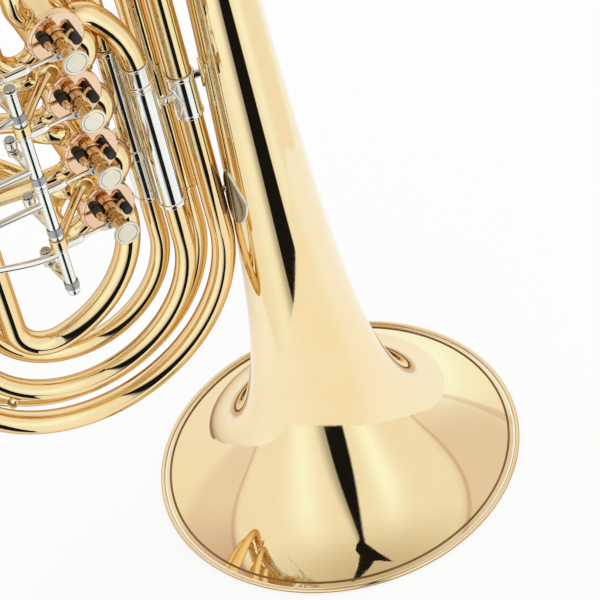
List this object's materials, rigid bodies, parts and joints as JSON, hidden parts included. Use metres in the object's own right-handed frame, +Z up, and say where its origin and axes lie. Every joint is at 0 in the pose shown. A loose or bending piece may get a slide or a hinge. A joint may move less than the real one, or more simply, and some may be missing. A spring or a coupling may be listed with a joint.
{
  "type": "bass trumpet",
  "caption": "Rotary-valve bass trumpet with sprung levers, linked valves, sliding tuning and valve bows, a water key and a wide flared bell on which it stands.",
  "frame": {"origin": "on the floor under the middle of the bounding box, with the bell standing on its rim", "axes": "+Z up along the bell axis from the rim to the mouthpiece receiver; -Y towards the bearing plates and levers; -X from the bell towards the finger touches"},
  "size_m": [0.3, 0.199, 0.568],
  "materials": {
    "lacquered_brass": "polished, lacquered",
    "nickel_silver": "polished nickel silver",
    "rose_brass": "polished",
    "steel": "turned"
  },
  "bodies": {
    "root": {"bearing_plate_1": "rose_brass", "bearing_plate_2": "rose_brass", "bearing_plate_3": "rose_brass", "bearing_plate_4": "rose_brass", "bell": "lacquered_brass", "bell_bow": "lacquered_brass", "bell_brace": "nickel_silver", "bell_rim_wire": "lacquered_brass", "crossover_bow": "lacquered_brass", "first_branch_lower": "lacquered_brass", "first_branch_upper": "lacquered_brass", "fourth_crook_left": "lacquered_brass", "fourth_crook_right": "lacquered_brass", "fourth_sleeve_left": "nickel_silver", "fourth_sleeve_right": "nickel_silver", "inner_leg_ferrule": "nickel_silver", "leadpipe": "lacquered_brass", "leaf_stay": "nickel_silver", "lever_hinge_rod": "steel", "lever_post_lower": "lacquered_brass", "lever_post_upper": "lacquered_brass", "mouthpiece_receiver": "nickel_silver", "outer_bow": "lacquered_brass", "second_branch_lower": "lacquered_brass", "second_branch_upper": "lacquered_brass", "sleeve_brace": "nickel_silver", "third_crook_left": "lacquered_brass", "third_crook_right": "lacquered_brass", "third_sleeve_left": "nickel_silver", "third_sleeve_right": "nickel_silver", "tuning_sleeve_left": "nickel_silver", "tuning_sleeve_right": "nickel_silver", "valve_casing_1": "lacquered_brass", "valve_casing_2": "lacquered_brass", "valve_casing_3": "lacquered_brass", "valve_casing_4": "lacquered_brass", "valve_exit_tube": "lacquered_brass", "valve_inlet_bend": "lacquered_brass"},
    "rotor_1": {"rotor_1": "lacquered_brass", "stop_arm_1": "nickel_silver"},
    "link_1": {"link_1": "nickel_silver"},
    "lever_1": {"lever_1": "nickel_silver"},
    "rotor_2": {"rotor_2": "lacquered_brass", "stop_arm_2": "nickel_silver"},
    "link_2": {"link_2": "nickel_silver"},
    "lever_2": {"lever_2": "nickel_silver"},
    "rotor_3": {"rotor_3": "lacquered_brass", "stop_arm_3": "nickel_silver"},
    "link_3": {"link_3": "nickel_silver"},
    "lever_3": {"lever_3": "nickel_silver"},
    "rotor_4": {"rotor_4": "lacquered_brass", "stop_arm_4": "nickel_silver"},
    "link_4": {"link_4": "nickel_silver"},
    "lever_4": {"lever_4": "nickel_silver"},
    "tuning_slide": {"tuning_slide": "lacquered_brass"},
    "first_slide": {"first_slide": "lacquered_brass"},
    "second_slide": {"second_slide": "lacquered_brass"},
    "third_slide": {"third_slide": "lacquered_brass"},
    "fourth_slide": {"fourth_slide": "lacquered_brass"},
    "water_key": {"water_key": "lacquered_brass"}
  },
  "joints": [
    {"name": "lever_1_hinge", "type": "hinge", "parent": "root", "child": "lever_1", "pos_m": [-0.07157, -0.04175, 0.35748], "axis": [0, 0, -1], "range_deg": [0, 20], "stiffness_Nm_per_rad": 0.06, "springref_deg": -20.05},
    {"name": "rotor_1_turn", "type": "hinge", "parent": "root", "child": "rotor_1", "pos_m": [-0.03696, 0, 0.36095], "axis": [0, -1, 0], "range_deg": [0, 90]},
    {"name": "link_1_swing", "type": "hinge", "parent": "rotor_1", "child": "link_1", "pos_m": [-0.04043, -0.0219, 0.35748], "axis": [0, -1, 0], "range_deg": [-90, 0]},
    {"name": "lever_2_hinge", "type": "hinge", "parent": "root", "child": "lever_2", "pos_m": [-0.07157, -0.04175, 0.32073], "axis": [0, 0, -1], "range_deg": [0, 20], "stiffness_Nm_per_rad": 0.06, "springref_deg": -20.05},
    {"name": "rotor_2_turn", "type": "hinge", "parent": "root", "child": "rotor_2", "pos_m": [-0.03696, 0, 0.3242], "axis": [0, -1, 0], "range_deg": [0, 90]},
    {"name": "link_2_swing", "type": "hinge", "parent": "rotor_2", "child": "link_2", "pos_m": [-0.04043, -0.0219, 0.32073], "axis": [0, -1, 0], "range_deg": [-90, 0]},
    {"name": "lever_3_hinge", "type": "hinge", "parent": "root", "child": "lever_3", "pos_m": [-0.07157, -0.04175, 0.28398], "axis": [0, 0, -1], "range_deg": [0, 20], "stiffness_Nm_per_rad": 0.06, "springref_deg": -20.05},
    {"name": "rotor_3_turn", "type": "hinge", "parent": "root", "child": "rotor_3", "pos_m": [-0.03696, 0, 0.28745], "axis": [0, -1, 0], "range_deg": [0, 90]},
    {"name": "link_3_swing", "type": "hinge", "parent": "rotor_3", "child": "link_3", "pos_m": [-0.04043, -0.0219, 0.28398], "axis": [0, -1, 0], "range_deg": [-90, 0]},
    {"name": "lever_4_hinge", "type": "hinge", "parent": "root", "child": "lever_4", "pos_m": [-0.07157, -0.04175, 0.24724], "axis": [0, 0, -1], "range_deg": [0, 20], "stiffness_Nm_per_rad": 0.06, "springref_deg": -20.05},
    {"name": "rotor_4_turn", "type": "hinge", "parent": "root", "child": "rotor_4", "pos_m": [-0.03696, 0, 0.2507], "axis": [0, -1, 0], "range_deg": [0, 90]},
    {"name": "link_4_swing", "type": "hinge", "parent": "rotor_4", "child": "link_4", "pos_m": [-0.04043, -0.0219, 0.24724], "axis": [0, -1, 0], "range_deg": [-90, 0]},
    {"name": "tuning_slide_pull", "type": "slide", "parent": "root", "child": "tuning_slide", "axis": [0, 0, -1], "range_m": [0, 0.05]},
    {"name": "third_slide_pull", "type": "slide", "parent": "root", "child": "third_slide", "axis": [0, 0, -1], "range_m": [0, 0.02]},
    {"name": "fourth_slide_pull", "type": "slide", "parent": "root", "child": "fourth_slide", "axis": [0, 0, -1], "range_m": [0, 0.05]},
    {"name": "first_slide_pull", "type": "slide", "parent": "root", "child": "first_slide", "axis": [0, 0, 1], "range_m": [0, 0.025]},
    {"name": "second_slide_pull", "type": "slide", "parent": "root", "child": "second_slide", "axis": [-1, 0, 0], "range_m": [0, 0.012]},
    {"name": "water_key_hinge", "type": "hinge", "parent": "tuning_slide", "child": "water_key", "pos_m": [-0.12202, -0.006, 0.16147], "axis": [0, 1, 0], "range_deg": [0, 20], "stiffness_Nm_per_rad": 0.02, "springref_deg": -28.65}
  ],
  "couplings": [
    {"joint": "rotor_1_turn", "follows": "lever_1_hinge", "ratio": 4.5},
    {"joint": "link_1_swing", "follows": "lever_1_hinge", "ratio": -4.5},
    {"joint": "rotor_2_turn", "follows": "lever_2_hinge", "ratio": 4.5},
    {"joint": "link_2_swing", "follows": "lever_2_hinge", "ratio": -4.5},
    {"joint": "rotor_3_turn", "follows": "lever_3_hinge", "ratio": 4.5},
    {"joint": "link_3_swing", "follows": "lever_3_hinge", "ratio": -4.5},
    {"joint": "rotor_4_turn", "follows": "lever_4_hinge", "ratio": 4.5},
    {"joint": "link_4_swing", "follows": "lever_4_hinge", "ratio": -4.5}
  ]
}
